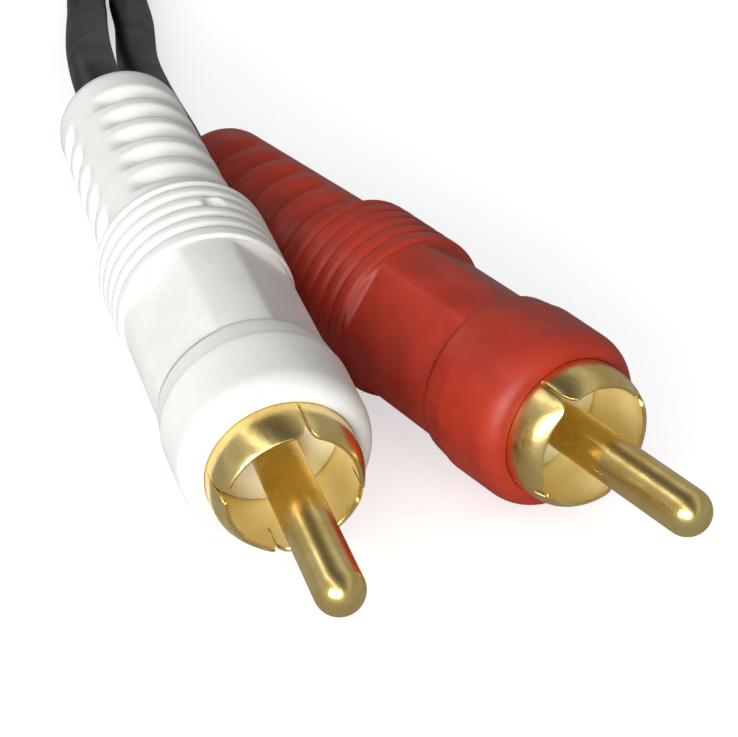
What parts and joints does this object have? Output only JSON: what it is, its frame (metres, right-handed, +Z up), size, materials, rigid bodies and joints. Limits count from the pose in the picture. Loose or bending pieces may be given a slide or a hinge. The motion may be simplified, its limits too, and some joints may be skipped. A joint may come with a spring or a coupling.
{
  "type": "phono audio cable",
  "caption": "Stereo phono audio lead with a white and a red ribbed moulded plug at each end, gold pinched-petal shells and a thin black twin lead wound into a hank",
  "frame": {"origin": "on the surface that the plugs lie on, under the middle of the box round the near pair of plugs without the lead", "axes": "+Z up, the pins of the near plugs point towards -Y, the lead leaves towards +Y, and the white plug is on the -X side"},
  "size_m": [0.0737, 0.2897, 0.0156],
  "materials": {
    "gold_plate": "polished pale gold plating",
    "white_plastic": "satin",
    "red_plastic": "satin",
    "cream_plastic": "matt",
    "mould_plastic": "matt",
    "black_vinyl": "satin vinyl",
    "polythene": "translucent, matt",
    "copper": "bare copper strands",
    "tie_cloth": "matt"
  },
  "bodies": {
    "root": {"white_plug_body": "white_plastic", "white_shell": "gold_plate", "white_insulator": "cream_plastic", "white_centre_pin": "gold_plate", "white_inner_mould": "mould_plastic", "white_jacket_end": "black_vinyl", "white_core": "polythene", "white_conductor": "copper", "white_shield_strands": "copper", "red_plug_body": "red_plastic", "red_shell": "gold_plate", "red_insulator": "cream_plastic", "red_centre_pin": "gold_plate", "red_inner_mould": "mould_plastic", "red_jacket_end": "black_vinyl", "red_core": "polythene", "red_conductor": "copper", "red_shield_strands": "copper", "far_white_plug_body": "white_plastic", "far_white_shell": "gold_plate", "far_white_insulator": "cream_plastic", "far_white_centre_pin": "gold_plate", "far_white_inner_mould": "mould_plastic", "far_white_jacket_end": "black_vinyl", "far_white_core": "polythene", "far_white_conductor": "copper", "far_white_shield_strands": "copper", "far_red_plug_body": "red_plastic", "far_red_shell": "gold_plate", "far_red_insulator": "cream_plastic", "far_red_centre_pin": "gold_plate", "far_red_inner_mould": "mould_plastic", "far_red_jacket_end": "black_vinyl", "far_red_core": "polythene", "far_red_conductor": "copper", "far_red_shield_strands": "copper", "white_lead": "black_vinyl", "red_lead": "black_vinyl", "twin_lead": "black_vinyl", "hank": "black_vinyl", "far_white_lead": "black_vinyl", "far_red_lead": "black_vinyl", "tie_left": "tie_cloth", "tie_right": "tie_cloth"}
  },
  "joints": []
}
